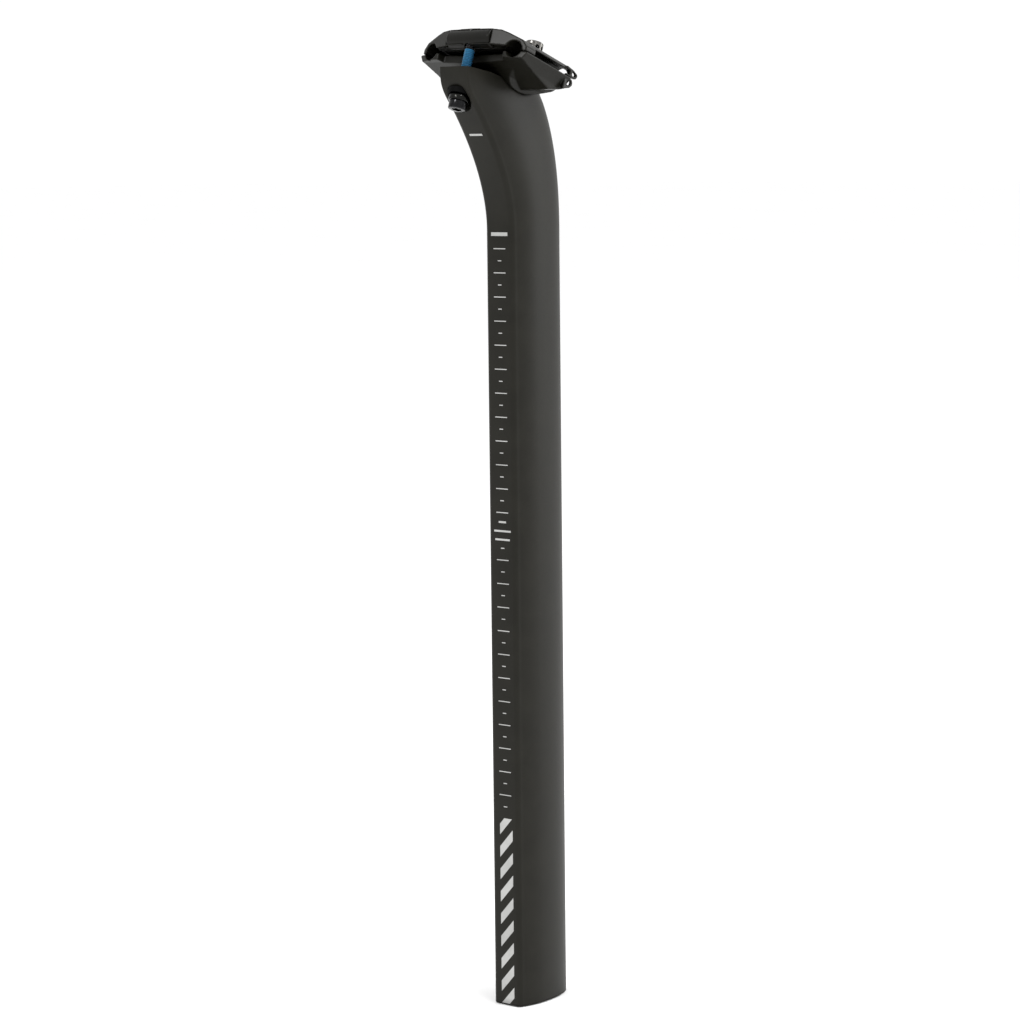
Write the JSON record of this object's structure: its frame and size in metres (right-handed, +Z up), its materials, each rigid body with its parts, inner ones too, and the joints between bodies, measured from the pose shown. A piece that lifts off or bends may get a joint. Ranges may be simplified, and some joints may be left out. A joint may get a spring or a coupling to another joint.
{
  "type": "bicycle seatpost",
  "caption": "Hollow D-section bicycle seatpost with a rearward-leaning head and a tilting two-bolt clamp for the saddle rails.",
  "frame": {"origin": "lower end of the shaft, in the middle of its section", "axes": "+Z up along the straight shaft, +Y towards the front of the bicycle, +X towards the rider's right"},
  "size_m": [0.0568, 0.0664, 0.4104],
  "materials": {
    "carbon_shell": "satin",
    "clamp_metal": "satin",
    "nut_metal": "satin",
    "bolt_steel": "gloss",
    "washer_steel": "satin",
    "thread_lock": "matte",
    "plain_steel": "satin",
    "thumb_metal": "satin"
  },
  "bodies": {
    "post": {"post": "carbon_shell", "rear_seat_cup": "bolt_steel"},
    "cradle": {"lower_cradle": "clamp_metal"},
    "jaw": {"upper_clamp": "clamp_metal"},
    "rear_nut": {"rear_barrel_nut": "nut_metal"},
    "front_saddle": {"front_half_barrel": "plain_steel"},
    "thumb": {"thumb_nut": "thumb_metal"},
    "rear_pull": {"rear_washer": "washer_steel"},
    "rear_screw": {"rear_bolt": "bolt_steel", "thread_patch": "thread_lock"},
    "front_pull": {"front_stud": "bolt_steel", "front_anchor": "plain_steel"}
  },
  "joints": [
    {"name": "cradle_tilt", "type": "hinge", "parent": "post", "child": "cradle", "pos_m": [0, -0.01005, 0.4057], "axis": [1, 0, 0], "range_deg": [-5, 5]},
    {"name": "jaw_open", "type": "slide", "parent": "cradle", "child": "jaw", "axis": [0, 0.3371, 0.9415], "range_m": [0, 0.002]},
    {"name": "rear_nut_rock", "type": "hinge", "parent": "jaw", "child": "rear_nut", "pos_m": [0, -0.03356, 0.40605], "axis": [1, 0, 0], "range_deg": [-6.6, 6.6]},
    {"name": "front_saddle_rock", "type": "hinge", "parent": "jaw", "child": "front_saddle", "pos_m": [0, 0.00365, 0.39814], "axis": [1, 0, 0], "range_deg": [-5.6, 5.6]},
    {"name": "thumb_spin", "type": "hinge", "parent": "front_saddle", "child": "thumb", "pos_m": [0, 0.00378, 0.39852], "axis": [0, 0.3371, 0.9415], "range_deg": [0, 1030]},
    {"name": "rear_pull_rock", "type": "hinge", "parent": "post", "child": "rear_pull", "pos_m": [0, -0.04258, 0.38177], "axis": [1, 0, 0], "range_deg": [-1.5, 1.5]},
    {"name": "rear_screw_spin", "type": "hinge", "parent": "rear_pull", "child": "rear_screw", "pos_m": [0, -0.04278, 0.3812], "axis": [0, 0.3371, 0.9415], "range_deg": [-1030, 0]},
    {"name": "front_pull_rock", "type": "hinge", "parent": "post", "child": "front_pull", "pos_m": [0, -0.00565, 0.37216], "axis": [1, 0, 0], "range_deg": [-0.6, 0.6]}
  ],
  "couplings": [
    {"joint": "rear_nut_rock", "follows": "cradle_tilt", "ratio": -1.2492},
    {"joint": "front_saddle_rock", "follows": "cradle_tilt", "ratio": -1.0924},
    {"joint": "rear_pull_rock", "follows": "cradle_tilt", "ratio": -0.2492},
    {"joint": "front_pull_rock", "follows": "cradle_tilt", "ratio": -0.0924},
    {"joint": "thumb_spin", "follows": "jaw_open", "rad_per_m": 8976},
    {"joint": "rear_screw_spin", "follows": "jaw_open", "rad_per_m": -8976}
  ]
}
